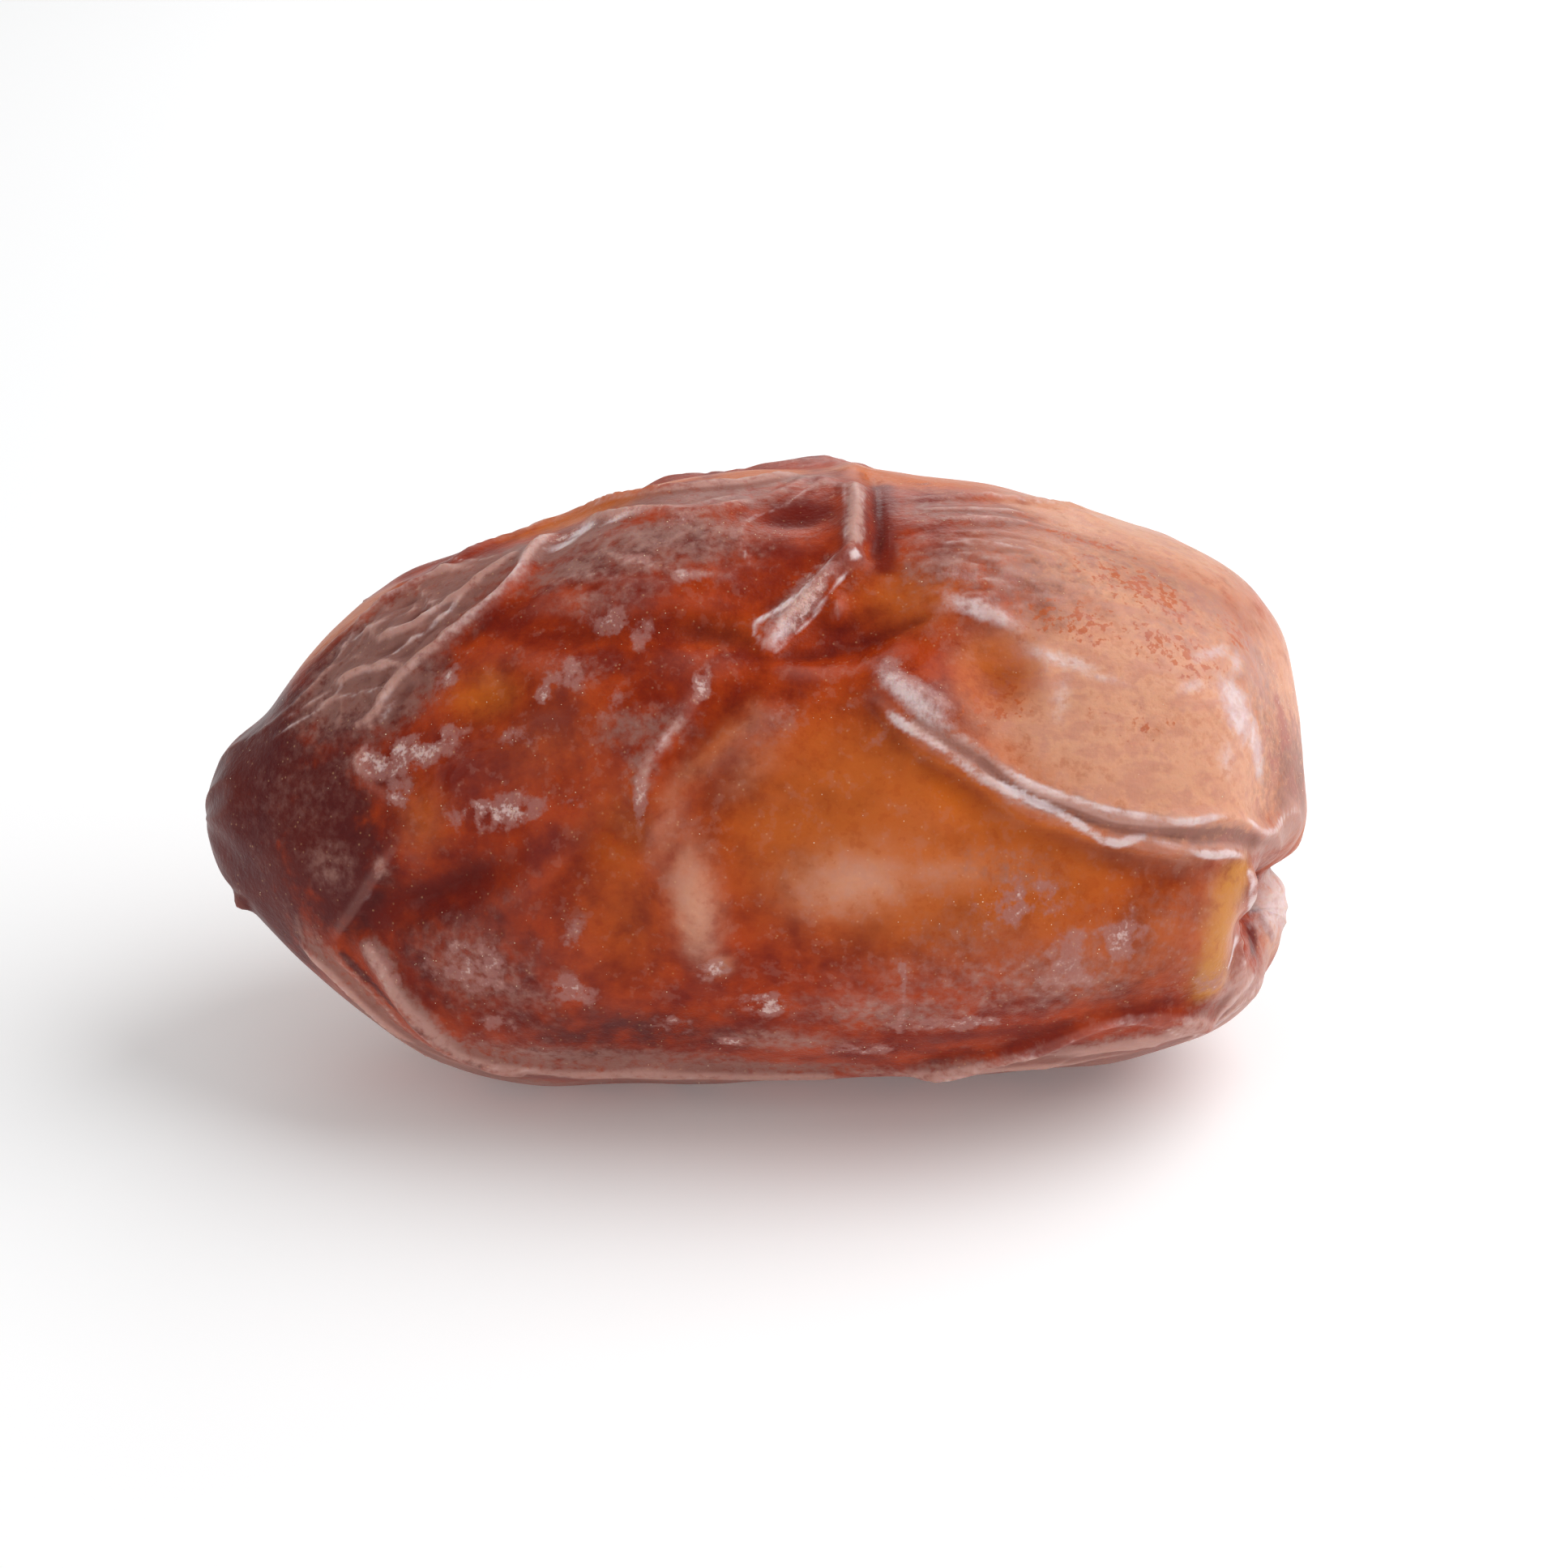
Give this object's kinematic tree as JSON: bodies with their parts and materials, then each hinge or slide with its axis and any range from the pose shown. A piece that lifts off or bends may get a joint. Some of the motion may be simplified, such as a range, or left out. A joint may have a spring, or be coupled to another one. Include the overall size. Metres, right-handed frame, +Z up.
{
  "type": "medjool date",
  "caption": "Whole dried medjool date with a blunt tip, a folded and wrinkled skin and a puckered stem end, lying on a small pressed flat spot on its belly.",
  "frame": {"origin": "on the resting surface, under the middle of the fruit's bounding box", "axes": "+X from the blunt tip to the stem end, +Z up, -Y towards the side with the long fold"},
  "size_m": [0.045, 0.0271, 0.0254],
  "materials": {
    "date_skin": "thin semi-gloss fruit skin, amber to dark red-brown, with a pale dry bloom and mauve fold crests"
  },
  "bodies": {
    "root": {"date_fruit": "date_skin"}
  },
  "joints": []
}
